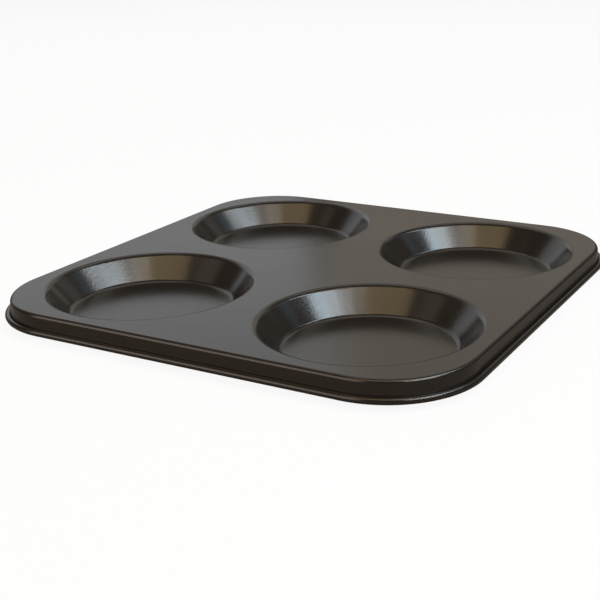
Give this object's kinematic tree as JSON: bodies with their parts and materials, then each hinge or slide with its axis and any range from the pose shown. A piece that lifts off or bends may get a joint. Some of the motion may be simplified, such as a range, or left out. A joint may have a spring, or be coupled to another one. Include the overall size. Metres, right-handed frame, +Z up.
{
  "type": "yorkshire pudding pan",
  "caption": "Square pressed-steel baking tin with shallow round sloping-walled cups, a flat deck with rounded corners and a turned-down rolled rim.",
  "frame": {"origin": "middle of the pan on the plane of the cup bases' undersides, on which it stands", "axes": "+Z up, out of the cups' mouths; +X and +Y along the two pairs of straight sides"},
  "size_m": [0.24, 0.24, 0.0127],
  "materials": {
    "coated_steel": "semi-gloss dark grey non-stick coating on steel"
  },
  "bodies": {
    "root": {"pan": "coated_steel"}
  },
  "joints": []
}
